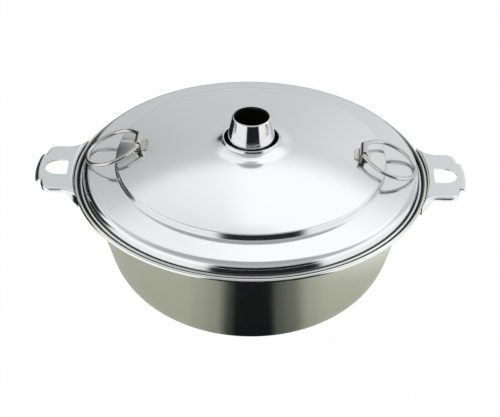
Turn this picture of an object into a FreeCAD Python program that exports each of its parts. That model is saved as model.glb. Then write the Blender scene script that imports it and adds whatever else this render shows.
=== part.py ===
"""Chimney hot pot: a drawn steel bowl with a cone-shaped flue through its middle, two pressed sheet handles,
and a spun lift-off lid with two wire rings in strap brackets.

Millimetres. Z points up. The origin is at the middle of the flat base, on the surface that the pot stands on.
The handles lie along X, with handle_left at -X.
"""
import FreeCAD, Part
import math
import os
import re

import Sketcher

doc = FreeCAD.newDocument("ChimneyHotPot")

# Driving dimensions
# Lengths are in millimetres and angles in degrees. "dia" is a diameter, "r" a radius, "sheet" a thickness.
SIZES = {
    # bowl
    "bowl_sheet": 1.0,
    "base_flat_dia": 127.2,
    "bowl_corner_r": 50.0,
    "seat_overhang": 11.0,
    "seat_height": 95.5,
    "throat_bend_r": 2.0,
    "rim_dia": 278.0,
    "rim_curl_dia": 3.4,
    "rim_rise": 1.4,
    # chimney
    "chimney_height": 152.2,
    "chimney_top_dia": 29.8,
    "chimney_foot_dia": 95.4,
    "chimney_sheet": 1.0,
    "chimney_hem": 2.05,
    "chimney_hem_height": 3.0,
    "chimney_foot_bend_r": 3.0,
    "chimney_flange_width": 6.0,
    # lid
    "lid_sheet": 0.8,
    "lid_seat_gap": 0.3,
    "lid_bead_dia": 2.2,
    "lid_rim_gap": 2.3,
    "lid_edge_height": 11.7,
    "lid_edge_bend_r": 3.6,
    "band_slope": 6.1,
    "band_width": 27.5,
    "step_height": 5.4,
    "step_bend_r": 1.3,
    "dome_r": 370.0,
    "swell_width": 11.7,
    "swell_r": 30.0,
    "neck_chimney_gap": 1.7,
    "neck_bend_r": 1.6,
    "neck_rise": 0.3,
    "lid_turn": -2.2,
    # lid rings and their brackets
    "ring_wire_dia": 3.2,
    "ring_arc_r": 22.2,
    "ring_arc_turn": 138.0,
    "ring_reach": 44.0,
    "ring_corner_r": 3.5,
    "ring_rest_gap": 0.2,
    "ring_bore_gap": 0.25,
    "bracket_step_gap": 18.7,
    "bracket_lift": 5.8,
    "bracket_sheet": 1.0,
    "bracket_length": 12.8,
    "bracket_width": 15.0,
    "bracket_bend_r": 0.5,
    "bracket_corner_r": 2.6,
    "bracket_weld_gap": 0.05,
    # handles
    "handle_sheet": 1.2,
    "handle_depth": 3.2,
    "handle_rise": 2.6,
    "handle_edge_r": 1.9,
    "handle_half_width": 31.0,
    "handle_reach": 27.3,
    "handle_end_r": 85.0,
    "handle_corner_r": 7.0,
    "handle_flare_r": 17.0,
    "handle_rim_gap": 0.5,
    "handle_dip_r": 1.5,
    "handle_crest_r": 1.8,
    "handle_root_cover": 1.0,
    "handle_weld_drop": 15.0,
    "handle_weld_gap": 0.05,
    "handle_weld_half_width": 30.0,
    "handle_weld_bend_r": 1.8,
    "hole_rim_gap": 5.6,
    "hole_length": 18.0,
    "hole_width": 20.4,
    "hole_corner_r": 1.6,
    "lip_half_width": 17.6,
    "lip_bend_r": 2.0,
    "lip_turn": 55.0,
    "lip_length": 1.7,
    "lip_corner_r": 2.2,
}

sheet = doc.addObject("Spreadsheet::Sheet", "Sizes")
for row, (alias, size) in enumerate(SIZES.items(), start=1):
    sheet.set("A%d" % row, alias)
    sheet.set("B%d" % row, str(size))
    sheet.setAlias("B%d" % row, alias)
doc.recompute()

# Sizes that follow from the driving ones, so that pieces which meet keep meeting
FOLLOWING = {
    "rim_r": "rim_dia / 2",
    "curl_r": "rim_curl_dia / 2",
    "curl_x": "rim_r - curl_r",
    "curl_z": "seat_height + rim_rise",
    "seat_under": "seat_height - bowl_sheet",
    # the bowl's outer wall is the line from the seat's underside that touches the rounded corner
    "corner_x": "base_flat_dia / 2",
    "wall_run": "rim_r - seat_overhang - corner_x",
    "wall_rise": "seat_under - bowl_corner_r",
    "wall_reach": "sqrt(wall_run ^ 2 + wall_rise ^ 2)",
    "wall_lean": "(acos(bowl_corner_r / wall_reach) - atan(wall_rise / wall_run)) / 1deg",
    # the chimney's outer surface, as its slope and lean from the vertical
    "chimney_slope": "(chimney_foot_dia - chimney_top_dia) / 2 / (chimney_height - bowl_sheet)",
    "chimney_lean": "atan(chimney_slope) / 1deg",
    # the lid's wall stands inside the rim; its neck stands round the chimney
    "edge_r": "rim_r - rim_curl_dia - lid_rim_gap",
    "step_r": "edge_r - band_width",
    "bracket_r": "step_r - bracket_step_gap",
    "handle_top": "curl_z + curl_r + handle_rise",
    "handle_end_x": "rim_r + handle_reach",
    "hole_inner_x": "rim_r + hole_rim_gap",
    "hole_outer_x": "hole_inner_x + hole_length",
}
FOLLOWS = re.compile(r"\b(" + "|".join(FOLLOWING) + r")\b")
ALIAS = re.compile(r"\b(" + "|".join(SIZES) + r")\b")


def bound(text):
    """Turns a formula's names into references to the sheet; names that follow others come first."""
    while FOLLOWS.search(text):
        text = FOLLOWS.sub(lambda name: "(%s)" % FOLLOWING[name.group()], text)
    return ALIAS.sub(r"Sizes.\1", text)


def value(text):
    """The number that a formula of sizes gives now."""
    result = sheet.evalExpression(bound(text))
    return float(getattr(result, "Value", result))


def polar(centre, radius, angle):
    """Formulas for the point at an angle on a circle."""
    return (
        "(%s + (%s) * cos(%s))" % (centre[0], radius, angle),
        "(%s + (%s) * sin(%s))" % (centre[1], radius, angle),
    )


def new_body(name):
    body = doc.addObject("PartDesign::Body", name)
    body.Label = name
    return body


def new_sketch(body, name, role, offset=None):
    """A sketch on one of the body's own origin planes, shifted by formulas for its x, y and z."""
    sketch = body.newObject("Sketcher::SketchObject", name)
    plane = next(item for item in body.Origin.OriginFeatures if item.Role == role)
    sketch.AttachmentSupport = [(plane, "")]
    sketch.MapMode = "FlatFace"
    for axis, formula in (offset or {}).items():
        sketch.setExpression("AttachmentOffset.Base.%s" % axis, bound(formula))
    return sketch


def pin_point(sketch, edge, end, point, kinds=("DistanceX", "DistanceY")):
    """Holds one end of an edge, or an arc's centre, at a point given by two formulas."""
    for kind in kinds:
        formula = point[0] if kind == "DistanceX" else point[1]
        index = sketch.addConstraint(Sketcher.Constraint(kind, -1, 1, edge, end, value(formula)))
        sketch.setExpression("Constraints[%d]" % index, bound(formula))


def vector(point):
    return FreeCAD.Vector(value(point[0]), value(point[1]), 0)


def draw(sketch, steps):
    """Draws a closed outline. Each step is (point,) for a straight edge to the next step's point, or
    (point, centre, turn) for an arc to it, where turn is 1 counter-clockwise and -1 clockwise."""
    ends = []
    for step, following in zip(steps, steps[1:] + steps[:1]):
        start, stop = vector(step[0]), vector(following[0])
        first, last = 1, 2
        if len(step) == 1:
            edge = sketch.addGeometry(Part.LineSegment(start, stop), False)
        else:
            _, centre, turn = step
            middle = vector(centre)
            circle = Part.Circle(middle, FreeCAD.Vector(0, 0, 1), middle.distanceToPoint(start))
            angles = [math.atan2(end.y - middle.y, end.x - middle.x) for end in (start, stop)]
            if turn < 0:
                angles.reverse()
                first, last = 2, 1
            edge = sketch.addGeometry(Part.ArcOfCircle(circle, angles[0], angles[1]), False)
            # with both ends held, the centre needs holding only across the line between them
            wide = abs(stop.x - start.x) > abs(stop.y - start.y)
            pin_point(sketch, edge, 3, centre, ("DistanceY",) if wide else ("DistanceX",))
        pin_point(sketch, edge, first, step[0])
        ends.append((edge, first, last))
    for (edge, _, last), (after, first, _) in zip(ends, ends[1:] + ends[:1]):
        sketch.addConstraint(Sketcher.Constraint("Coincident", edge, last, after, first))


def revolve(body, name, sketch, kind="PartDesign::Revolution", angle=None):
    """Turns a profile about the sketch's vertical axis, right round or through a formula's angle."""
    feature = body.newObject(kind, name)
    feature.Profile = sketch
    feature.ReferenceAxis = (sketch, ["V_Axis"])
    feature.Angle = 360.0
    if angle:
        feature.Midplane = True
        feature.setExpression("Angle", bound(angle))
    return feature


def extrude(body, name, sketch, length, kind="PartDesign::Pad"):
    """Pads or pockets a profile evenly to both sides of its plane, by a length given by a formula."""
    feature = body.newObject(kind, name)
    feature.Profile = sketch
    feature.Midplane = True
    feature.setExpression("Length", bound(length))
    return feature


def round_edges(body, name, base, wanted, radius):
    """Fillets those edges of a feature that the test picks, by a radius given by a formula."""
    doc.recompute()
    names = ["Edge%d" % number for number, edge in enumerate(base.Shape.Edges, start=1) if wanted(edge)]
    feature = body.newObject("PartDesign::Fillet", name)
    feature.Base = (base, names)
    feature.setExpression("Radius", bound(radius))
    return feature


# Places shared by pieces that meet

CURL = ("curl_x", "curl_z")
WALL_TURN = ("corner_x", "bowl_corner_r")
WALL_FOOT = polar(WALL_TURN, "bowl_corner_r", "-wall_lean")
# radius of the bowl's outer wall at height z, as WALL_AT % z
WALL_AT = "(%s + ((%%s) - %s) * tan(wall_lean))" % WALL_FOOT

# radius of the chimney's outer surface at height z, as CHIMNEY_AT % z
CHIMNEY_AT = "(chimney_foot_dia / 2 - ((%s) - bowl_sheet) * chimney_slope)"
# the bend from the chimney's cone to the flange that lies on the bowl's base
FLANGE_TOP = "(bowl_sheet + chimney_sheet)"
FOOT_BEND_Z = "(%s + chimney_foot_bend_r)" % FLANGE_TOP
FOOT_BEND = ("(%s + chimney_foot_bend_r / cos(chimney_lean))" % (CHIMNEY_AT % FOOT_BEND_Z), FOOT_BEND_Z)

# the lid's turned-down edge and the outer surface of its band at radius r, as BAND_AT % r
EDGE_TURN = ("(edge_r - lid_edge_bend_r)", "(seat_height + lid_edge_height - lid_edge_bend_r)")
BAND_OUT = polar(EDGE_TURN, "lid_edge_bend_r", "90 - band_slope")
BAND_AT = "(%s + (%s - (%%s)) * tan(band_slope))" % (BAND_OUT[1], BAND_OUT[0])
# the dome is part of a sphere, whose outer surface at radius r is DOME_AT % r
DOME = ("0", "(%s + step_height - sqrt(dome_r ^ 2 - step_r ^ 2))" % (BAND_AT % "step_r"))
DOME_AT = "(%s + sqrt(dome_r ^ 2 - (%%s) ^ 2))" % DOME[1]
NECK_BORE = "(%s + neck_chimney_gap)" % (CHIMNEY_AT % (DOME_AT % "0"))

# the lid rings' pivot, square above the middle of the bracket's foot, and the ring's tilt at rest
BRACKET_SLOPE = "(asin(bracket_r / dome_r) / 1deg)"
PIVOT_R = "(bracket_r + bracket_lift * sin(%s))" % BRACKET_SLOPE
PIVOT_Z = "(%s + bracket_lift * cos(%s))" % (DOME_AT % "bracket_r", BRACKET_SLOPE)
PIVOT_OVER_BAND = "(%s - %s)" % (PIVOT_Z, BAND_AT % PIVOT_R)
RING_FALL = "(%s * cos(band_slope) - ring_wire_dia / 2 - ring_rest_gap)" % PIVOT_OVER_BAND
RING_TILT = "(band_slope + asin(%s / ring_reach) / 1deg)" % RING_FALL


def make_bowl():
    """The bowl: flat base ring round the flue, rounded corner, leaning wall, lid seat and rolled rim."""
    body = new_body("pot_bowl")
    sketch = new_sketch(body, "BowlProfile", "XZ_Plane")
    inner_r = "(bowl_corner_r - bowl_sheet)"
    # the wall turns out to the lid's seat
    throat_z = "(seat_under - throat_bend_r)"
    throat = ("(%s + throat_bend_r / cos(wall_lean))" % (WALL_AT % throat_z), throat_z)
    throat_over_r = "(throat_bend_r + bowl_sheet)"
    # the seat turns up into the curl
    up_r = "(bowl_sheet / 2)"
    up = ("(curl_x - curl_r - %s)" % up_r, "(seat_height + %s)" % up_r)
    riser = "(curl_x - curl_r)"
    curl_end = "(curl_z - curl_r)"
    draw(sketch, [
        ((FOOT_BEND[0], "0"),),
        ((WALL_TURN[0], "0"), WALL_TURN, 1),
        (WALL_FOOT,),
        (polar(throat, "throat_bend_r", "180 - wall_lean"), throat, -1),
        ((throat[0], "seat_under"),),
        ((up[0], "seat_under"), up, 1),
        (("(%s + bowl_sheet)" % riser, up[1]),),
        (("(%s + bowl_sheet)" % riser, CURL[1]), CURL, -1),
        ((CURL[0], "(%s + bowl_sheet)" % curl_end),),
        ((CURL[0], curl_end), CURL, 1),
        ((riser, CURL[1]),),
        ((riser, up[1]), up, -1),
        ((up[0], "seat_height"),),
        ((throat[0], "seat_height"), throat, 1),
        (polar(throat, throat_over_r, "180 - wall_lean"),),
        (polar(WALL_TURN, inner_r, "-wall_lean"), WALL_TURN, -1),
        ((WALL_TURN[0], "bowl_sheet"),),
        ((FOOT_BEND[0], "bowl_sheet"),),
    ])
    revolve(body, "Bowl", sketch)
    return body


def make_chimney():
    """The cone-shaped flue: foot flange on the bowl's base, leaning wall and a hemmed, rounded top edge."""
    body = new_body("chimney_cone")
    sketch = new_sketch(body, "ChimneyProfile", "XZ_Plane")
    bend_r = "chimney_foot_bend_r"
    under_r = "(%s + chimney_sheet)" % bend_r
    flange_r = "(%s + chimney_flange_width)" % FOOT_BEND[0]
    across = "(chimney_sheet / cos(chimney_lean))"
    hem_across = "(chimney_hem / cos(chimney_lean))"
    hem_z = "(chimney_height - chimney_hem_height)"
    edge_r = "(%s / 2)" % hem_across
    edge_z = "(chimney_height - %s)" % edge_r
    edge = ("(%s - %s)" % (CHIMNEY_AT % edge_z, edge_r), edge_z)
    draw(sketch, [
        ((FOOT_BEND[0], "bowl_sheet"),),
        ((flange_r, "bowl_sheet"),),
        ((flange_r, FLANGE_TOP),),
        ((FOOT_BEND[0], FLANGE_TOP), FOOT_BEND, -1),
        (polar(FOOT_BEND, bend_r, "180 + chimney_lean"),),
        ((CHIMNEY_AT % edge_z, edge_z), edge, 1),
        (("(%s - %s)" % (edge[0], edge_r), edge_z),),
        (("(%s - %s)" % (CHIMNEY_AT % hem_z, hem_across), hem_z),),
        (("(%s - %s)" % (CHIMNEY_AT % hem_z, across), hem_z),),
        (polar(FOOT_BEND, under_r, "180 + chimney_lean"), FOOT_BEND, 1),
    ])
    revolve(body, "Chimney", sketch)
    return body


def make_lid():
    """The spun lid: hemmed neck, gentle swell round it, dome, step, band, turned-down edge and bead."""
    body = new_body("lid_shell")
    sketch = new_sketch(body, "LidProfile", "XZ_Plane")
    inside = "(%s - lid_sheet)"
    outside = "(%s + lid_sheet)"
    # swell: a hollow arc that leaves the dome and runs tangent into the neck's own bend
    swell_slope = "(asin((%s + swell_width) / dome_r) / 1deg)" % NECK_BORE
    swell_out = polar(DOME, "dome_r", "90 - %s" % swell_slope)
    swell = (
        "(%s + swell_r * sin(%s))" % (swell_out[0], swell_slope),
        "(%s + swell_r * cos(%s))" % (swell_out[1], swell_slope),
    )
    bore = NECK_BORE
    neck = "(%s + 2 * lid_sheet)" % bore
    bend_x = "(%s + neck_bend_r)" % neck
    between = "(swell_r - neck_bend_r)"
    neck_slope = "(asin((%s - %s) / %s) / 1deg)" % (swell[0], bend_x, between)
    bend = (bend_x, "(%s - %s * cos(%s))" % (swell[1], between, neck_slope))
    hem = ("(%s + lid_sheet)" % bore, "(%s + neck_rise)" % bend[1])
    # step: rounded top edge that runs tangent out of the dome, upright wall, hollow foot on the band
    top_x = "(step_r - step_bend_r)"
    top_out = "(dome_r - step_bend_r)"
    top_slope = "(asin(%s / %s) / 1deg)" % (top_x, top_out)
    top = (top_x, "(%s + %s * cos(%s))" % (DOME[1], top_out, top_slope))
    foot_x = "(step_r + step_bend_r)"
    foot = (foot_x, "(%s + step_bend_r / cos(band_slope))" % (BAND_AT % foot_x))
    # bead: the edge curled outwards
    bead_r = "(lid_bead_dia / 2)"
    bead = (
        "(edge_r - lid_sheet + %s)" % bead_r,
        "(seat_height + lid_seat_gap + %s)" % bead_r,
    )
    bead_top = "(%s + sqrt(%s ^ 2 - (%s - lid_sheet) ^ 2))" % (bead[1], bead_r, bead_r)
    draw(sketch, [
        ((bore, bend[1]),),
        ((bore, hem[1]), hem, -1),
        ((neck, hem[1]),),
        ((neck, bend[1]), bend, 1),
        (polar(bend, "neck_bend_r", "270 - %s" % neck_slope), swell, 1),
        (swell_out, DOME, -1),
        (polar(DOME, "dome_r", "90 - %s" % top_slope), top, -1),
        (("step_r", top[1]),),
        (("step_r", foot[1]), foot, 1),
        (polar(foot, "step_bend_r", "270 - band_slope"),),
        (BAND_OUT, EDGE_TURN, -1),
        (("edge_r", EDGE_TURN[1]),),
        (("edge_r", bead_top), bead, -1),
        (("(edge_r - lid_sheet)", bead[1]),),
        (("(edge_r - lid_sheet)", EDGE_TURN[1]), EDGE_TURN, 1),
        (polar(EDGE_TURN, inside % "lid_edge_bend_r", "90 - band_slope"),),
        (polar(foot, outside % "step_bend_r", "270 - band_slope"), foot, -1),
        (("(step_r - lid_sheet)", foot[1]),),
        (("(step_r - lid_sheet)", top[1]), top, 1),
        (polar(DOME, inside % "dome_r", "90 - %s" % top_slope), DOME, 1),
        (polar(DOME, inside % "dome_r", "90 - %s" % swell_slope), swell, -1),
        (polar(bend, outside % "neck_bend_r", "270 - %s" % neck_slope), bend, -1),
        ((inside % neck, bend[1]),),
    ])
    revolve(body, "Lid", sketch)
    return body


def make_bracket(name, side):
    """A strap bent over the ring's bar, with two flat feet that are welded to the dome."""
    body = new_body(name)
    sketch = new_sketch(body, "StrapProfile", "XZ_Plane")
    bore_r = "(ring_wire_dia / 2 + ring_bore_gap)"
    arch_r = "(%s + bracket_sheet)" % bore_r
    arch = ("0", "bracket_lift")
    under = "bracket_weld_gap"
    over = "(bracket_weld_gap + bracket_sheet)"
    leg_foot = "(%s + bracket_bend_r)" % over
    bend_x = "(%s + bracket_bend_r)" % arch_r
    wide_r = "(bracket_bend_r + bracket_sheet)"
    end = "(bracket_length / 2)"
    left, right = ("(-%s)" % bend_x, leg_foot), (bend_x, leg_foot)
    draw(sketch, [
        (("(-%s)" % end, under),),
        ((left[0], under), left, 1),
        (("(-%s)" % bore_r, leg_foot),),
        (("(-%s)" % bore_r, arch[1]), arch, -1),
        ((bore_r, arch[1]),),
        ((bore_r, leg_foot), right, 1),
        ((right[0], under),),
        ((end, under),),
        ((end, over),),
        ((right[0], over), right, -1),
        ((arch_r, leg_foot),),
        ((arch_r, arch[1]), arch, 1),
        (("(-%s)" % arch_r, arch[1]),),
        (("(-%s)" % arch_r, leg_foot), left, -1),
        ((left[0], over),),
        (("(-%s)" % end, over),),
    ])
    strap = extrude(body, "Strap", sketch, "bracket_width")
    tip = value(end)
    round_edges(
        body, "FootCorners", strap,
        lambda edge: all(abs(abs(point.X) - tip) < 1e-3 for point in edge.Vertexes)
        and abs(edge.Vertexes[0].Z - edge.Vertexes[-1].Z) > 1e-3,
        "min(bracket_corner_r; %s - %s - 0.1)" % (end, bend_x),
    )
    turn = "(lid_turn + %d)" % side
    body.setExpression("Placement", bound(
        "placement(vector(bracket_r * cos(%s); bracket_r * sin(%s); %s);"
        " rotation(vector(0; 0; 1); %s) * rotation(vector(0; 1; 0); %s))"
        % (turn, turn, DOME_AT % "bracket_r", turn, BRACKET_SLOPE)
    ))
    return body


def make_ring(name, side):
    """A wire ring: a straight bar that turns in the bracket, and a round bow for the fingers."""
    body = new_body(name)
    path = new_sketch(body, "RingPath", "XY_Plane")
    bow = ("(ring_reach - ring_arc_r)", "0")
    bow_end = polar(bow, "ring_arc_r", "ring_arc_turn")
    bar_half = "(%s + %s / tan(ring_arc_turn) - ring_corner_r * tan(90 - ring_arc_turn / 2))" % (
        bow_end[1],
        bow_end[0],
    )
    far, near = ("ring_corner_r", bar_half), ("ring_corner_r", "(-%s)" % bar_half)
    draw(path, [
        (("0", "0"),),
        (("0", near[1]), near, 1),
        (polar(near, "ring_corner_r", "-ring_arc_turn"),),
        (polar(bow, "ring_arc_r", "-ring_arc_turn"), bow, 1),
        (bow_end,),
        (polar(far, "ring_corner_r", "ring_arc_turn"), far, 1),
        (("0", far[1]),),
    ])
    wire = new_sketch(body, "WireSection", "XZ_Plane")
    circle = wire.addGeometry(
        Part.Circle(FreeCAD.Vector(0, 0, 0), FreeCAD.Vector(0, 0, 1), value("ring_wire_dia / 2")), False
    )
    wire.addConstraint(Sketcher.Constraint("Coincident", circle, 3, -1, 1))
    index = wire.addConstraint(Sketcher.Constraint("Diameter", circle, value("ring_wire_dia")))
    wire.setExpression("Constraints[%d]" % index, bound("ring_wire_dia"))
    doc.recompute()
    sweep = body.newObject("PartDesign::AdditivePipe", "Wire")
    sweep.Profile = wire
    sweep.Spine = (path, ["Edge%d" % (number + 1) for number in range(len(path.Shape.Edges))])
    turn = "(lid_turn + %d)" % side
    body.setExpression("Placement", bound(
        "placement(vector(%s * cos(%s); %s * sin(%s); %s);"
        " rotation(vector(0; 0; 1); %s) * rotation(vector(0; 1; 0); %s))"
        % (PIVOT_R, turn, PIVOT_R, turn, PIVOT_Z, turn, RING_TILT)
    ))
    return body


# The handle's sheet, seen in a cut through the pot's axis: from the root under the seat it turns up beside the
# rim's curl and bends over a crest into the flat plate.
ROOT_TOP = "(seat_under - handle_rim_gap)"
ROOT_FLOOR = "(%s - handle_sheet)" % ROOT_TOP
ROOT_R = "(curl_x - handle_root_cover)"
RISE_R = "(rim_r + handle_rim_gap)"
DIP = ("(%s - handle_dip_r)" % RISE_R, "(%s + handle_dip_r)" % ROOT_TOP)
CREST = ("(%s + handle_crest_r)" % RISE_R, "(handle_top - handle_crest_r)")
# the flare's arc is centred outside the sheet, and its nearest point to the pot's axis is just past the rim
FLARE_Y = "(handle_half_width + handle_flare_r)"
FLARE_X = "(sqrt((%s + handle_flare_r) ^ 2 - %s ^ 2))" % (RISE_R, FLARE_Y)
ROOT_TURN = "(atan(%s / %s) / 1deg)" % (FLARE_Y, FLARE_X)
END_AXIS_X = "(handle_end_x - handle_end_r)"


def handle_outline(inset, root_r):
    """The handle from above, drawn in by a wall: flared root, straight sides, rounded corners, bowed end."""
    half = "(handle_half_width - %s)" % inset
    corner_r = "(handle_corner_r - %s)" % inset
    flare_r = "(handle_flare_r + %s)" % inset
    between = "(handle_end_r - handle_corner_r)"
    corner_y = "(handle_half_width - handle_corner_r)"
    corner_x = "(%s + sqrt(%s ^ 2 - %s ^ 2))" % (END_AXIS_X, between, corner_y)
    corner_turn = "(asin(%s / %s) / 1deg)" % (corner_y, between)
    low_corner, high_corner = (corner_x, "(-%s)" % corner_y), (corner_x, corner_y)
    low_flare, high_flare = (FLARE_X, "(-%s)" % FLARE_Y), (FLARE_X, FLARE_Y)
    axis = ("0", "0")
    return [
        (polar(axis, root_r, "-%s" % ROOT_TURN),),
        (polar(low_flare, flare_r, "180 - %s" % ROOT_TURN), low_flare, -1),
        ((FLARE_X, "(-%s)" % half),),
        ((corner_x, "(-%s)" % half), low_corner, 1),
        (polar(low_corner, corner_r, "-%s" % corner_turn), (END_AXIS_X, "0"), 1),
        (polar(high_corner, corner_r, corner_turn), high_corner, 1),
        ((corner_x, half),),
        ((FLARE_X, half), high_flare, -1),
        (polar(high_flare, flare_r, "180 + %s" % ROOT_TURN),),
        (polar(axis, root_r, ROOT_TURN), axis, -1),
    ]


def make_block(name, inset, floor, root_r):
    """A solid pressing: the handle's outline with a rounded top edge, cut back to clear the rim."""
    body = new_body(name)
    plan = new_sketch(body, "Plan", "XY_Plane", {"z": floor})
    draw(plan, handle_outline(inset, root_r))
    block = body.newObject("PartDesign::Pad", "Block")
    block.Profile = plan
    top = "(handle_top - %s)" % inset
    block.setExpression("Length", bound("%s - %s" % (top, floor)))
    top_z = value(top)
    inner_r = value("%s + handle_rim_gap" % RISE_R)

    def on_rounding(edge):
        ends = [vertex.Point for vertex in edge.Vertexes]
        level = all(abs(end.z - top_z) < 1e-3 for end in ends)
        return level and any(math.hypot(end.x, end.y) > inner_r for end in ends)

    round_edges(body, "TopEdge", block, on_rounding, "handle_edge_r - %s" % inset)
    rise = new_sketch(body, "RiseProfile", "XZ_Plane")
    low = "(%s - %s)" % (ROOT_TOP, inset)
    side = "(%s + %s)" % (RISE_R, inset)
    above = "(handle_top + handle_depth)"
    behind = "(%s - 2 * handle_root_cover)" % root_r
    draw(rise, [
        ((behind, low),),
        ((DIP[0], low), DIP, 1),
        ((side, DIP[1]),),
        ((side, CREST[1]), CREST, -1),
        ((CREST[0], top),),
        ((CREST[0], above),),
        ((behind, above),),
    ])
    revolve(body, "Rise", rise, kind="PartDesign::Groove")
    return body


def make_handle(name, side):
    """A pressed sheet handle: tray-shaped plate with a hole, turned-down lip and a root welded on."""
    body = make_block(name, "0", ROOT_FLOOR, ROOT_R)
    core_floor = "(%s - handle_depth)" % ROOT_FLOOR
    core_root = "(%s - handle_root_cover)" % ROOT_R
    core = make_block(name + "_core", "handle_sheet", core_floor, core_root)
    doc.recompute()
    hollow = body.newObject("PartDesign::Boolean", "Hollow")
    hollow.setObjects([core])
    hollow.Type = "Cut"

    # the turned-down edges are trimmed to one depth, up to the rise beside the rim
    trim = new_sketch(body, "TrimProfile", "XZ_Plane")
    trim_z = "(handle_top - handle_depth)"
    rise_foot = "(%s + 2 * handle_sheet)" % RISE_R
    beyond = "(handle_end_x + handle_depth)"
    draw(trim, [
        ((rise_foot, core_floor),),
        ((beyond, core_floor),),
        ((beyond, trim_z),),
        (("(%s + handle_depth)" % rise_foot, trim_z),),
        ((rise_foot, ROOT_FLOOR),),
    ])
    revolve(body, "EdgeTrim", trim, kind="PartDesign::Groove")

    # the lip's bend starts where the plate ends, and no edge is turned down under it
    lip_angle = "2 * asin(lip_half_width / handle_end_r) / 1deg"
    plate_under = "(handle_top - handle_sheet)"
    lip_start = "(handle_end_r - handle_edge_r - handle_sheet)"
    relief = new_sketch(body, "ReliefProfile", "XZ_Plane", {"x": END_AXIS_X})
    past_end = "(handle_end_r + handle_sheet)"
    draw(relief, [
        ((lip_start, core_floor),),
        ((past_end, core_floor),),
        ((past_end, plate_under),),
        ((lip_start, plate_under),),
    ])
    revolve(body, "LipRelief", relief, kind="PartDesign::Groove", angle=lip_angle)
    lip = new_sketch(body, "LipProfile", "XZ_Plane", {"x": END_AXIS_X})
    bend = ("handle_end_r", "(%s - lip_bend_r)" % plate_under)
    wide_r = "(lip_bend_r + handle_sheet)"
    over = polar(bend, wide_r, "90 - lip_turn")
    under = polar(bend, "lip_bend_r", "90 - lip_turn")
    tip_x, tip_z = "lip_length * cos(lip_turn)", "lip_length * sin(lip_turn)"
    draw(lip, [
        ((lip_start, "handle_top"),),
        ((lip_start, plate_under),),
        ((bend[0], plate_under), bend, -1),
        (under,),
        (("(%s + %s)" % (under[0], tip_x), "(%s - %s)" % (under[1], tip_z)),),
        (("(%s + %s)" % (over[0], tip_x), "(%s - %s)" % (over[1], tip_z)),),
        (over, bend, 1),
        ((bend[0], "handle_top"),),
    ])
    lip_feature = revolve(body, "Lip", lip, angle=lip_angle)
    doc.recompute()
    tip_r = value("(%s + %s + %s)" % (END_AXIS_X, over[0], tip_x)) - 0.9 * value("handle_sheet")

    def on_lip_corner(edge):
        ends = [vertex.Point for vertex in edge.Vertexes]
        short = abs(edge.Length - value("handle_sheet")) < 1e-3
        axis_x = value(END_AXIS_X)
        return short and all(math.hypot(end.x - axis_x, end.y) > tip_r - axis_x for end in ends)

    round_edges(body, "LipCorners", lip_feature, on_lip_corner, "lip_corner_r")

    # finger hole: square towards the pot, half round outwards
    hole = new_sketch(body, "HolePlan", "XY_Plane", {"z": "handle_top"})
    half = "(hole_width / 2)"
    round_x = "(hole_outer_x - %s)" % half
    corner_x = "(hole_inner_x + hole_corner_r)"
    corner_y = "(%s - hole_corner_r)" % half
    draw(hole, [
        ((corner_x, "(-%s)" % half),),
        ((round_x, "(-%s)" % half), (round_x, "0"), 1),
        ((round_x, half),),
        ((corner_x, half), (corner_x, corner_y), 1),
        (("hole_inner_x", corner_y),),
        (("hole_inner_x", "(-%s)" % corner_y), (corner_x, "(-%s)" % corner_y), 1),
    ])
    extrude(body, "FingerHole", hole, "2 * handle_depth", kind="PartDesign::Pocket")

    # the root runs in under the lid's seat and turns down along the bowl's leaning wall
    tab = new_sketch(body, "WeldTabProfile", "XZ_Plane")
    bend_z = "(%s - handle_weld_bend_r)" % ROOT_FLOOR
    outer_r = "(handle_weld_bend_r + handle_sheet)"
    wall_x = "(%s + (handle_weld_gap + %s) / cos(wall_lean))"
    bend = (wall_x % (WALL_AT % bend_z, outer_r), bend_z)
    tab_z = "(%s - handle_weld_drop)" % bend_z
    tab_r = "(%s + handle_root_cover)" % ROOT_R
    draw(tab, [
        ((tab_r, ROOT_TOP),),
        ((bend[0], ROOT_TOP), bend, 1),
        (polar(bend, outer_r, "180 - wall_lean"),),
        ((wall_x % (WALL_AT % tab_z, "0"), tab_z),),
        ((wall_x % (WALL_AT % tab_z, "handle_sheet"), tab_z),),
        (polar(bend, "handle_weld_bend_r", "180 - wall_lean"), bend, -1),
        ((bend[0], ROOT_FLOOR),),
        ((tab_r, ROOT_FLOOR),),
    ])
    revolve(body, "WeldTab", tab, angle="2 * asin(handle_weld_half_width / %s) / 1deg" % ROOT_R)
    about_z = FreeCAD.Rotation(FreeCAD.Vector(0, 0, 1), side)
    body.Placement = FreeCAD.Placement(FreeCAD.Vector(0, 0, 0), about_z)
    return body


pieces = [make_bowl(), make_chimney(), make_lid()]
for hand, side in (("left", 180), ("right", 0)):
    pieces.append(make_bracket("ring_bracket_" + hand, side))
    pieces.append(make_ring("ring_" + hand, side))
    pieces.append(make_handle("handle_" + hand, side))
doc.recompute()

faults = [item.Name for item in doc.Objects if {"Invalid", "Error"} & set(item.State)]
faults += [piece.Label for piece in pieces if piece.Shape.isNull() or not piece.Shape.isValid()]
if faults:
    raise SystemExit("failed: " + ", ".join(faults))

os.makedirs("parts", exist_ok=True)
for piece in pieces:
    piece.Shape.exportStep("parts/%s.step" % piece.Label)
    box = piece.Shape.BoundBox
    print("%-20s %8.1f mm3  %6.1f x %6.1f x %6.1f  solids %d" % (
        piece.Label, piece.Shape.Volume, box.XLength, box.YLength, box.ZLength, len(piece.Shape.Solids)))
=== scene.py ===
# %% [markdown]
# # A chimney hot pot, dressed for its picture
#
# The engineering model gives every piece of the pot its true size and place. This lesson loads that model,
# keeps its joints, and gives each piece the look of the real thing: a satin bowl, a mirror-bright spun lid and
# chimney, pressed handles and bent wire rings. Lengths are in metres, except in the outlines of the turned
# pieces, which are in millimetres.

# %% Load the fixed frame
import math

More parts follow.
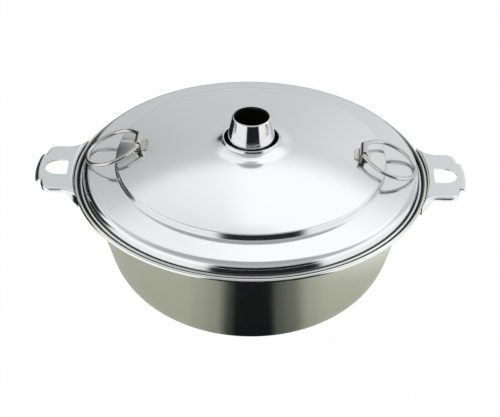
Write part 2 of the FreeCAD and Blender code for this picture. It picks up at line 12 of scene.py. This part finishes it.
import bpy
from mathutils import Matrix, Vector


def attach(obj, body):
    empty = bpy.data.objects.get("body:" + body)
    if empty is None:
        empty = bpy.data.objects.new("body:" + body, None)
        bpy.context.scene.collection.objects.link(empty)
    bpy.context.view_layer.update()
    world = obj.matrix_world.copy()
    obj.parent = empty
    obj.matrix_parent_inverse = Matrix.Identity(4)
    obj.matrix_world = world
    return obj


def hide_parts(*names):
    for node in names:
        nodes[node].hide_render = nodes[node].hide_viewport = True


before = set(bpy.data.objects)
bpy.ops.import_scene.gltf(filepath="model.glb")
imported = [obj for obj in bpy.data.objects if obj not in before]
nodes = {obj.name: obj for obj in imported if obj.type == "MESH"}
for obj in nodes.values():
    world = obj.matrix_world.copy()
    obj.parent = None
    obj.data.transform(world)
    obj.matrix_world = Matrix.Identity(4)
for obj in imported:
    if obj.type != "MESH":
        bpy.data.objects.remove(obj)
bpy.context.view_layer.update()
print("pieces:", sorted(nodes))

# %% [markdown]
# ## Camera
#
# The photograph looks down on the pot by a little over a third of a right angle, from nearly straight in front. A
# long lens from well back keeps the circles of rim and lid from widening towards the viewer. The place and the
# lens were worked out from how those circles, and the chimney, look in the picture. The lens is given by how many
# pixels of the picture a metre takes up at a metre's distance, and by the pixel that the lens points at.

# %% Place the camera
CAMERA_TILT = math.radians(33.6)
CAMERA_TURN = math.radians(1.0)
CAMERA_ROLL = math.radians(0.8)
CAMERA_DISTANCE = 1.350
LOOK_AT = Vector((0.0, 0.0, 0.1008))
PICTURE_WIDTH, PICTURE_HEIGHT = 500.0, 417.0
METRE_IN_PIXELS = 1710.3
AIM_PIXEL = (250.77, 171.63)

towards_camera = Vector((
    math.cos(CAMERA_TILT) * math.sin(CAMERA_TURN),
    -math.cos(CAMERA_TILT) * math.cos(CAMERA_TURN),
    math.sin(CAMERA_TILT),
))
lens = bpy.data.cameras.new("lens")
lens.sensor_width = 36.0
lens.lens = lens.sensor_width * METRE_IN_PIXELS / PICTURE_WIDTH
lens.shift_x = -(AIM_PIXEL[0] - PICTURE_WIDTH / 2) / PICTURE_WIDTH
lens.shift_y = (AIM_PIXEL[1] - PICTURE_HEIGHT / 2) / PICTURE_WIDTH
camera = bpy.data.objects.new("camera", lens)
bpy.context.scene.collection.objects.link(camera)
camera.location = LOOK_AT + CAMERA_DISTANCE * towards_camera
facing = (-towards_camera).to_track_quat("-Z", "Y").to_matrix()
camera.rotation_euler = facing.to_euler()
camera.rotation_euler.rotate_axis("Z", CAMERA_ROLL)
bpy.context.scene.camera = camera
print("camera at", [round(c, 3) for c in camera.location])

# %% [markdown]
# ## Studio
#
# Polished metal has hardly any colour of its own: it shows the room. So the room is most of the finish. It could
# be built of real panels and lamps. Here it is painted on the sky instead, with colour ramps that read each
# direction, because the photograph's reflections tell in which direction a panel or a lamp was, and not how far
# off. White panels stand to the left and the right, and overhead the room is grey.

# %% Helpers for node trees
def feed(tree, entry, socket):
    """Gives an input a number, a colour or another node's output."""
    if isinstance(entry, (int, float)):
        socket.default_value = entry
    elif isinstance(entry, tuple):
        socket.default_value = (*entry, 1.0)
    else:
        tree.links.new(entry, socket)


def calculate(tree, operation, *entries, clamp=False):
    """A Math node."""
    node = tree.nodes.new("ShaderNodeMath")
    node.operation = operation
    node.use_clamp = clamp
    for entry, socket in zip(entries, node.inputs):
        feed(tree, entry, socket)
    return node.outputs[0]


def ramp(tree, factor, stops):
    """A colour ramp, given as (position, colour) stops, where a single number is a grey."""
    node = tree.nodes.new("ShaderNodeValToRGB")
    node.color_ramp.interpolation = "EASE"
    while len(node.color_ramp.elements) < len(stops):
        node.color_ramp.elements.new(1.0)
    for element, (position, colour) in zip(node.color_ramp.elements, stops):
        element.position = position
        element.color = (*colour, 1.0) if isinstance(colour, tuple) else (colour, colour, colour, 1.0)
    feed(tree, factor, node.inputs[0])
    return node.outputs[0]


def mix(tree, share, first, second, kind="RGBA"):
    """Goes from a first colour to a second, or from number to number where the kind is FLOAT."""
    node = tree.nodes.new("ShaderNodeMix")
    node.data_type = kind
    first_input, output = {"FLOAT": (2, 0), "RGBA": (6, 2)}[kind]
    feed(tree, share, node.inputs["Factor"])
    feed(tree, first, node.inputs[first_input])
    feed(tree, second, node.inputs[first_input + 1])
    return node.outputs[output]


def heading(tree, east, north):
    """Which way a place lies, from 0 through 1 once round: 0.5 is the camera's side and 0.75 is the right."""
    angle = calculate(tree, "ARCTAN2", east, calculate(tree, "MULTIPLY", north, -1.0))
    return calculate(tree, "MULTIPLY_ADD", angle, 0.5 / math.pi, 0.5)


# %% The walls and the ceiling
room = bpy.data.worlds.new("studio_room")
bpy.context.scene.world = room
room.use_nodes = True
tree = room.node_tree
tree.nodes.clear()
look = tree.nodes.new("ShaderNodeTexCoord")
split = tree.nodes.new("ShaderNodeSeparateXYZ")
feed(tree, look.outputs["Generated"], split.inputs[0])
east, north, height = split.outputs
faces = heading(tree, east, north)

walls = ramp(tree, faces, [
    (0.0, 0.66), (0.08, 0.55), (0.17, 1.05), (0.42, 1.10), (0.455, 0.48), (0.605, 0.48), (0.64, 1.10),
    (0.78, 1.10), (0.85, 0.62), (0.95, 0.80), (1.0, 0.66),
])
ceiling_back = ramp(tree, height, [(0.55, 0.64), (0.80, 0.66), (0.95, 0.44)])
ceiling_front = ramp(tree, height, [(0.50, 0.50), (0.70, 0.56), (0.92, 0.44)])
towards_back = ramp(tree, calculate(tree, "MULTIPLY_ADD", north, 0.5, 0.5), [(0.45, 0.0), (0.62, 1.0)])
ceiling = mix(tree, towards_back, ceiling_front, ceiling_back)
surroundings = mix(tree, ramp(tree, height, [(0.50, 0.0), (0.68, 1.0)]), walls, ceiling)
print("walls and ceiling:", len(tree.nodes), "nodes")

# %% [markdown]
# One large soft light hangs high at the back, a little to the right, and reaches lower on that side. It makes the
# pale half of the dome.

# %% The large soft light
LAMP_COLOUR = (1.14, 1.15, 1.15)

lamp_round = ramp(tree, faces, [
    (0.0, 1.0), (0.04, 0.72), (0.09, 0.55), (0.16, 0.0), (0.74, 0.0), (0.82, 1.0),
])
on_the_left = ramp(tree, faces, [(0.0, 0.0), (0.02, 1.0), (0.5, 1.0), (0.6, 0.0)])
lamp_high = mix(
    tree, on_the_left,
    ramp(tree, height, [(0.55, 0.0), (0.72, 1.0), (0.905, 1.0), (0.965, 0.0)]),
    ramp(tree, height, [(0.62, 0.0), (0.72, 1.0), (0.905, 1.0), (0.965, 0.0)]),
)
surroundings = mix(tree, calculate(tree, "MULTIPLY", lamp_round, lamp_high), surroundings, LAMP_COLOUR)
print("lamp colour:", LAMP_COLOUR)

# %% [markdown]
# Two places aren't lit: the lower part of the camera's side, and a gap in the walls at the back left. They draw
# the black lines that make polished steel look like steel. A room that is white all round would leave the metal
# looking like plaster.

# %% The two unlit places
DARKNESS = (0.008, 0.009, 0.010)

unlit_front = calculate(
    tree, "MULTIPLY",
    ramp(tree, faces, [(0.425, 0.0), (0.455, 1.0), (0.605, 1.0), (0.635, 0.0)]),
    ramp(tree, height, [(0.38, 1.0), (0.50, 0.0)]),
)
unlit_gap = calculate(
    tree, "MULTIPLY",
    ramp(tree, faces, [(0.050, 0.0), (0.068, 1.0), (0.195, 1.0), (0.212, 0.0)]),
    ramp(tree, height, [(0.38, 1.0), (0.54, 0.0)]),
)
unlit = calculate(tree, "ADD", unlit_front, unlit_gap, clamp=True)
surroundings = mix(tree, unlit, surroundings, DARKNESS)
lit = tree.nodes.new("ShaderNodeBackground")
feed(tree, surroundings, lit.inputs["Color"])
world_out = tree.nodes.new("ShaderNodeOutputWorld")
feed(tree, lit.outputs[0], world_out.inputs["Surface"])
bpy.context.scene.view_settings.view_transform = "Standard"
print("room:", len(tree.nodes), "nodes")

# %% [markdown]
# The floor is pale paper. It is lifted to white for the camera and also for the metal that mirrors it, and keeps
# a faint shadow. More light would whiten it too, but would bleach the pot.

# %% The floor
FLOOR_LEVEL = -0.0004
FLOOR_SIZE = 12.0
PAPER = (0.80, 0.80, 0.79)
LIFT_TO_WHITE = 0.985

bpy.ops.object.select_all(action="DESELECT")
bpy.ops.mesh.primitive_plane_add(size=FLOOR_SIZE, location=(0.0, 0.0, FLOOR_LEVEL))
floor = bpy.context.object
floor.name = "studio_floor"
paper = bpy.data.materials.new("white_paper")
paper.use_nodes = True
tree = paper.node_tree
tree.nodes.clear()
matt = tree.nodes.new("ShaderNodeBsdfDiffuse")
feed(tree, PAPER, matt.inputs["Color"])
bright = tree.nodes.new("ShaderNodeEmission")
rays = tree.nodes.new("ShaderNodeLightPath")
seen = calculate(tree, "ADD", rays.outputs["Is Camera Ray"], rays.outputs["Is Glossy Ray"], clamp=True)
seen = calculate(tree, "ADD", seen, rays.outputs["Is Transmission Ray"], clamp=True)
choose = tree.nodes.new("ShaderNodeMixShader")
lifted = calculate(tree, "MULTIPLY", seen, LIFT_TO_WHITE)
for entry, socket in zip((lifted, matt.outputs[0], bright.outputs[0]), choose.inputs):
    feed(tree, entry, socket)
paper_out = tree.nodes.new("ShaderNodeOutputMaterial")
feed(tree, choose.outputs[0], paper_out.inputs["Surface"])
floor.data.materials.append(paper)
print("floor:", FLOOR_SIZE, "across at height", FLOOR_LEVEL)

# %% [markdown]
# The photograph's background is white, but the bowl in it doesn't mirror white. It mirrors a table top that is
# grey-olive near the pot, white further out, and unlit in front, behind and at the back left. Painting those
# colours on the bowl would be wrong from every other side. A sheet that only reflections see gives them back to
# the bowl and to the lid's edge. It shines a little of its own, so that the pot's shadow doesn't darken it.

# %% The table that the bowl mirrors
TABLE_LEVEL = -0.0002
TABLE_RADIUS = 3.0
MAT, WHITE = (0.58, 0.60, 0.52), (0.95, 0.95, 0.93)
MAT_MIDDLE = (-0.030, -0.020, 0.0)

bpy.ops.object.select_all(action="DESELECT")
bpy.ops.mesh.primitive_circle_add(
    vertices=64, radius=TABLE_RADIUS, fill_type="NGON", location=(0.0, 0.0, TABLE_LEVEL),
)
table = bpy.context.object
table.name = "mirrored_table"
table.visible_camera = False
table.visible_diffuse = False
table.visible_shadow = False
table_top = bpy.data.materials.new("table_and_mat")
table_top.use_nodes = True
tree = table_top.node_tree
place = tree.nodes.new("ShaderNodeTexCoord")
split = tree.nodes.new("ShaderNodeSeparateXYZ")
feed(tree, place.outputs["Object"], split.inputs[0])
lies = heading(tree, split.outputs[0], split.outputs[1])
from_mat = tree.nodes.new("ShaderNodeVectorMath")
from_mat.operation = "DISTANCE"
feed(tree, place.outputs["Object"], from_mat.inputs[0])
from_mat.inputs[1].default_value = MAT_MIDDLE
mat_or_white = ramp(tree, from_mat.outputs["Value"], [(0.0, MAT), (0.150, MAT), (0.185, WHITE)])
print("table:", 2 * TABLE_RADIUS, "across at height", TABLE_LEVEL)

# %% Its unlit strip in front, and the unlit places further off
UNLIT = (0.012, 0.015, 0.016)
TABLE_GLOW = 0.36

strip = ramp(tree, lies, [
    (0.410, 0.0), (0.430, 0.13), (0.455, 0.30), (0.476, 0.90), (0.485, 1.0), (0.532, 1.0), (0.545, 0.78),
    (0.565, 0.66), (0.592, 0.15), (0.620, 0.0),
])
far_off = calculate(
    tree, "MULTIPLY",
    ramp(tree, lies, [
        (0.0, 0.85), (0.06, 1.0), (0.25, 1.0), (0.27, 0.0), (0.432, 0.0), (0.448, 1.0), (0.606, 1.0),
        (0.624, 0.0), (0.88, 0.0), (0.93, 0.85),
    ]),
    ramp(tree, from_mat.outputs["Value"], [(0.165, 0.0), (0.190, 1.0)]),
)
table_colour = mix(tree, calculate(tree, "ADD", strip, far_off, clamp=True), mat_or_white, UNLIT)
shader = tree.nodes["Principled BSDF"]
feed(tree, 1.0, shader.inputs["Roughness"])
feed(tree, 0.0, shader.inputs["Specular IOR Level"])
feed(tree, table_colour, shader.inputs["Base Color"])
feed(tree, table_colour, shader.inputs["Emission Color"])
feed(tree, TABLE_GLOW, shader.inputs["Emission Strength"])
table.data.materials.append(table_top)
print("table top:", len(tree.nodes), "nodes")

# %% [markdown]
# ## Turned pieces
#
# The bowl, the lid and the chimney are all round. Each could be a cylinder with its edges bevelled, but here it is
# one outline turned about the pot's axis, as the sheet is on the spinning lathe. The outlines repeat the
# engineering model's own lines and arcs, in millimetres, but in much finer steps, so that no flat facet shows in
# the polish. An outline goes along one face of the sheet and back along the other, so the turned piece is a closed
# wall of the real thickness.

# %% A helper that turns an outline
MM = 0.001
ARC_STEP_DEGREES, ARC_STEP_MM = 9.0, 4.0
TURN_STEPS = 240
SAME_POINT = 1e-6
SHARP_FROM = math.radians(40.0)


def arc(centre, radius, start, stop):
    """Points along an arc of an outline, from one angle to another in degrees."""
    sweep = math.radians(stop - start)
    by_angle = math.ceil(abs(stop - start) / ARC_STEP_DEGREES)
    by_length = math.ceil(abs(sweep) * radius / ARC_STEP_MM)
    count = max(3, by_angle, by_length)
    angles = [math.radians(start) + sweep * step / count for step in range(count + 1)]
    return [(centre[0] + radius * math.cos(a), centre[1] + radius * math.sin(a)) for a in angles]


def turned(name, outline):
    """Draws a closed outline of (radius, height) points and spins it about the upright axis."""
    bpy.ops.object.select_all(action="DESELECT")
    bpy.ops.mesh.primitive_plane_add(size=MM)
    piece = bpy.context.object
    piece.name = name
    bpy.ops.object.mode_set(mode="EDIT")
    bpy.ops.mesh.select_all(action="SELECT")
    bpy.ops.mesh.merge(type="CENTER")
    here = (0.0, 0.0)
    for number, point in enumerate(outline + outline[:1]):
        move = ((point[0] - here[0]) * MM, 0.0, (point[1] - here[1]) * MM)
        if number == 0:
            bpy.ops.transform.translate(value=move)
        else:
            bpy.ops.mesh.extrude_vertices_move(TRANSFORM_OT_translate={"value": move})
        here = point
    bpy.ops.mesh.select_all(action="SELECT")
    bpy.ops.mesh.remove_doubles(threshold=SAME_POINT)
    bpy.ops.mesh.spin(steps=TURN_STEPS, angle=math.tau, center=(0.0, 0.0, 0.0), axis=(0.0, 0.0, 1.0))
    bpy.ops.mesh.select_all(action="SELECT")
    bpy.ops.mesh.remove_doubles(threshold=SAME_POINT)
    bpy.ops.mesh.normals_make_consistent(inside=False)
    bpy.ops.object.mode_set(mode="OBJECT")
    bpy.ops.object.shade_smooth_by_angle(angle=SHARP_FROM)
    print(name, len(piece.data.polygons), "faces", [round(side, 4) for side in piece.dimensions])
    return piece


# %% [markdown]
# The bowl is drawn from one round sheet, 1 mm thick. Its outline starts at the hole under the chimney and follows
# the flat base, the round corner, the leaning wall, the flat seat for the lid, and the rim, which is rolled
# outwards so that no cut edge is left to the hand. Then it comes back along the inside.

# %% The drawn bowl
bowl = turned("drawn_bowl", [
    (49.902, 0.0), *arc((63.6, 50.0), 50.0, -90.0, -15.66),
    *arc((129.516, 92.5), 2.0, 164.34, 90.0), *arc((135.1, 96.0), 1.5, -90.0, 0.0),
    *arc((137.3, 96.9), 0.7, 180.0, -90.0), *arc((137.3, 96.9), 1.7, -90.0, 180.0),
    *arc((135.1, 96.0), 0.5, 0.0, -90.0), *arc((129.516, 92.5), 3.0, 90.0, 164.34),
    *arc((63.6, 50.0), 49.0, -15.66, -90.0), (49.902, 1.0),
])
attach(bowl, "pot")
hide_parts("pot_bowl")

# %% [markdown]
# The chimney is a cone of the same sheet, with a flange at its foot that is welded to the bowl's base. Its mouth
# is folded inwards into a hem 2 mm thick, which is the bright ring round the dark opening. A plain cone would end
# in a thin line there, so the outline goes over the hem, down its inner side and in under it.

# %% The chimney
chimney = turned("flue_cone", [
    (49.902, 1.0), (55.902, 1.0), (55.902, 2.0), *arc((49.902, 5.0), 3.0, -90.0, -167.76),
    *arc((14.079, 151.151), 1.049, 0.0, 180.0), (13.453, 149.2), (14.528, 149.2),
    *arc((49.902, 5.0), 4.0, -167.76, -90.0),
])
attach(chimney, "pot")
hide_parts("chimney_cone")

# %% [markdown]
# The lid is spun over a form, 0.8 mm thick. From the hemmed neck its outline runs down the dome, over the step and
# along the outer band, round the shoulder and down the edge to a small bead. Shoulder and edge follow the
# photograph more closely than the engineering model does: the shoulder is rounder, and the edge leans out towards
# its foot by 12 degrees, so that in front it mirrors the dark table and not the rolled rim beside it.

# %% The spun lid
SHOULDER, EDGE_LEAN = (125.99, 101.08), 12.0

lid = turned("spun_lid", [
    *arc((22.081, 133.222), 0.8, 180.0, 0.0), *arc((24.481, 132.922), 1.6, 180.0, 246.83),
    *arc((35.655, 159.032), 30.0, -113.17, -95.11), *arc((0.0, -239.376), 370.0, 84.89, 73.54),
    *arc((104.5, 114.205), 1.3, 73.54, 0.0), *arc((107.1, 110.943), 1.3, 180.0, 263.9),
    *arc(SHOULDER, 6.5, 83.9, EDGE_LEAN), *arc((133.6, 96.9), 1.1, 105.83, -180.0),
    *arc(SHOULDER, 5.7, EDGE_LEAN, 83.9), *arc((107.1, 110.943), 2.1, -96.1, -180.0),
    *arc((104.5, 114.205), 0.5, 0.0, 73.54), *arc((0.0, -239.376), 369.2, 73.54, 84.89),
    *arc((35.655, 159.032), 30.8, -95.11, -113.17), *arc((24.481, 132.922), 2.4, -113.17, -180.0),
    (21.281, 132.922),
])
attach(lid, "lid")
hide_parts("lid_shell")

# %% [markdown]
# ## Metals
#
# Every piece is stainless steel, and what differs is how it was finished. Spinning leaves faint rings round the
# lid, drawing and buffing leave the bowl satin below its bright rim, and wire keeps the marks of its die. Scratches
# could be drawn as an image, but an image repeats and has seams. So each finish is one polished metal whose
# roughness and height vary very slightly with noise, along the direction of the work.

# %% Helpers for finishes
def steel(name):
    """A metal, ready for its own colour and grain."""
    material = bpy.data.materials.new(name)
    material.use_nodes = True
    tree = material.node_tree
    shader = tree.nodes["Principled BSDF"]
    feed(tree, 1.0, shader.inputs["Metallic"])
    place = tree.nodes.new("ShaderNodeTexCoord")
    return material, tree, shader, place.outputs["Object"]


def spread(tree, value, old, new, kind="LINEAR"):
    """Takes a value from an old range to a new one, each given as (from, to)."""
    node = tree.nodes.new("ShaderNodeMapRange")
    node.interpolation_type = kind
    for entry, socket in zip((value, *old, *new), node.inputs):
        feed(tree, entry, socket)
    return node.outputs[0]


def noise(tree, vector, scale, detail=2.0):
    """A Noise Texture's grey."""
    node = tree.nodes.new("ShaderNodeTexNoise")
    feed(tree, scale, node.inputs["Scale"])
    feed(tree, detail, node.inputs["Detail"])
    feed(tree, vector, node.inputs["Vector"])
    return node.outputs["Fac"]


def grain(tree, shader, vector, scale, rough, depth):
    """Noise that moves the roughness within a range and raises the surface by a tiny depth."""
    marks = noise(tree, vector, scale, detail=4.0)
    roughness = spread(tree, marks, (0.3, 0.7), rough)
    feed(tree, roughness, shader.inputs["Roughness"])
    bump = tree.nodes.new("ShaderNodeBump")
    feed(tree, 1.0, bump.inputs["Strength"])
    feed(tree, depth, bump.inputs["Distance"])
    feed(tree, marks, bump.inputs["Height"])
    feed(tree, bump.outputs[0], shader.inputs["Normal"])
    return roughness


def vector_math(tree, operation, *entries):
    """A Vector Math node."""
    node = tree.nodes.new("ShaderNodeVectorMath")
    node.operation = operation
    sockets = [node.inputs[0], node.inputs["Scale"] if operation == "SCALE" else node.inputs[1]]
    for entry, socket in zip(entries, sockets):
        feed(tree, entry, socket)
    return node.outputs["Value" if operation == "LENGTH" else "Vector"]


def about_axis(tree, vector, across, around):
    """Coordinates that follow a turned piece, quick across it and slow round it, and its radius and height."""
    parts = tree.nodes.new("ShaderNodeSeparateXYZ")
    feed(tree, vector, parts.inputs[0])
    east, north, height = parts.outputs
    flat = tree.nodes.new("ShaderNodeCombineXYZ")
    feed(tree, east, flat.inputs[0])
    feed(tree, north, flat.inputs[1])
    radius = vector_math(tree, "LENGTH", flat.outputs[0])
    slow = vector_math(tree, "SCALE", vector_math(tree, "NORMALIZE", flat.outputs[0]), around)
    quick = tree.nodes.new("ShaderNodeCombineXYZ")
    reach = calculate(tree, "ADD", radius, height)
    feed(tree, calculate(tree, "MULTIPLY", reach, across), quick.inputs[2])
    return vector_math(tree, "ADD", slow, quick.outputs[0]), radius, height


def dress(piece, material):
    """Puts one material on a piece."""
    piece.data.materials.clear()
    piece.data.materials.append(material)
    print(piece.name, "wears", material.name)


# %% [markdown]
# The lid shows its room almost as a mirror does, softened a little by the rings that the spinning tool leaves.
# Noise that runs quickly outwards and slowly round draws such rings, less than a thousandth of a millimetre deep.
# The metal is a very little blue, as polished steel is.

# %% The lid's spun mirror
lid_mirror, tree, shader, place = steel("spun_lid_mirror")
feed(tree, (0.83, 0.85, 0.86), shader.inputs["Base Color"])
along, _, _ = about_axis(tree, place, across=900.0, around=0.6)
grain(tree, shader, along, scale=1.0, rough=(0.10, 0.14), depth=0.0000004)
dress(lid, lid_mirror)

# %% [markdown]
# The chimney is the brightest piece outside, and black with soot inside. Two materials could share the piece, face
# by face. One material that finds the middle of the wall does it without choosing faces: a place is inside the
# flue where its radius, plus its height times the cone's slope, is less than the middle of the wall has.

# %% The chimney's mirror, with soot inside
FLUE_STEEL = (0.84, 0.84, 0.84)
FLUE_SLOPE, FLUE_MIDDLE, FLUE_EDGE = 0.2169, 0.04705, 0.0001
SOOT_ROUGHNESS = 0.7

flue_mirror, tree, shader, place = steel("chimney_mirror")
along, radius, height = about_axis(tree, place, across=700.0, around=0.8)
polish = grain(tree, shader, along, scale=1.0, rough=(0.05, 0.09), depth=0.0000004)
reach = calculate(tree, "MULTIPLY_ADD", height, FLUE_SLOPE, radius)
soot = spread(tree, reach, (FLUE_MIDDLE + FLUE_EDGE, FLUE_MIDDLE - FLUE_EDGE), (0.0, 1.0))
sooty = ramp(tree, noise(tree, place, scale=90.0), [
    (0.35, (0.020, 0.019, 0.018)), (0.70, (0.055, 0.050, 0.046)),
])
feed(tree, mix(tree, soot, FLUE_STEEL, sooty), shader.inputs["Base Color"])
feed(tree, mix(tree, soot, polish, SOOT_ROUGHNESS, kind="FLOAT"), shader.inputs["Roughness"])
dress(chimney, flue_mirror)

# %% [markdown]
# The bowl's wall is satin from the drawing press, and its rim is polished after rolling. The change between them
# is a matter of height. The seat under the lid's edge, in the gap between lid and rim, gets a near-black colour
# that is painted shade, in a ring that is found by its radius. The radius is made five times larger first, because
# a colour ramp has only 256 steps and the ring is narrow.

# %% The bowl's satin, with a bright rim and painted shade on the seat
# The third colour is painted shade for the seat in the gap under the lid's edge, not the steel's own colour.
SATIN_STEEL, RIM_STEEL, SEAT_PAINTED_SHADE = (0.74, 0.74, 0.68), (0.90, 0.90, 0.88), (0.05, 0.05, 0.045)
RIM_FOOT, RIM_TOP = 0.0930, 0.0945
RIM_ROUGHNESS = 0.07
RADIUS_SCALE = 5.0

bowl_satin, tree, shader, place = steel("satin_bowl")
along, radius, height = about_axis(tree, place, across=500.0, around=3.0)
satin = grain(tree, shader, along, scale=1.0, rough=(0.15, 0.20), depth=0.0000004)
rim_share = spread(tree, height, (RIM_FOOT, RIM_TOP), (0.0, 1.0), kind="SMOOTHSTEP")
feed(tree, mix(tree, rim_share, satin, RIM_ROUGHNESS, kind="FLOAT"), shader.inputs["Roughness"])
# Painted shade: the ring of the seat under the lid's edge is darkened in its colour, where the gap's shade falls.
seat_shade_ring = ramp(tree, calculate(tree, "MULTIPLY", radius, RADIUS_SCALE), [
    (0.640, 0.0), (0.646, 1.0), (0.683, 1.0), (0.686, 0.0),
])
seat_shade = calculate(tree, "MULTIPLY", seat_shade_ring, rim_share)
wall_or_rim = ramp(tree, rim_share, [(0.0, SATIN_STEEL), (1.0, RIM_STEEL)])
feed(tree, mix(tree, seat_shade, wall_or_rim, SEAT_PAINTED_SHADE), shader.inputs["Base Color"])
dress(bowl, bowl_satin)

# %% [markdown]
# The handles are pressed and then buffed in no one direction, and the rings and their straps are bright drawn wire
# and strip. The engineering model already has their shapes as they should be, so they only get a finish, with a
# grain that is the same in every direction.

# %% The handles' and rings' polish
handle_polish, tree, shader, place = steel("buffed_handle")
feed(tree, (0.88, 0.89, 0.90), shader.inputs["Base Color"])
grain(tree, shader, place, scale=900.0, rough=(0.10, 0.16), depth=0.000001)
ring_polish, tree, shader, place = steel("bright_wire")
feed(tree, (0.68, 0.67, 0.65), shader.inputs["Base Color"])
grain(tree, shader, place, scale=1200.0, rough=(0.04, 0.08), depth=0.000001)
for side in ("left", "right"):
    dress(nodes["handle_" + side], handle_polish)
    dress(nodes["ring_" + side], ring_polish)
    dress(nodes["ring_bracket_" + side], ring_polish)
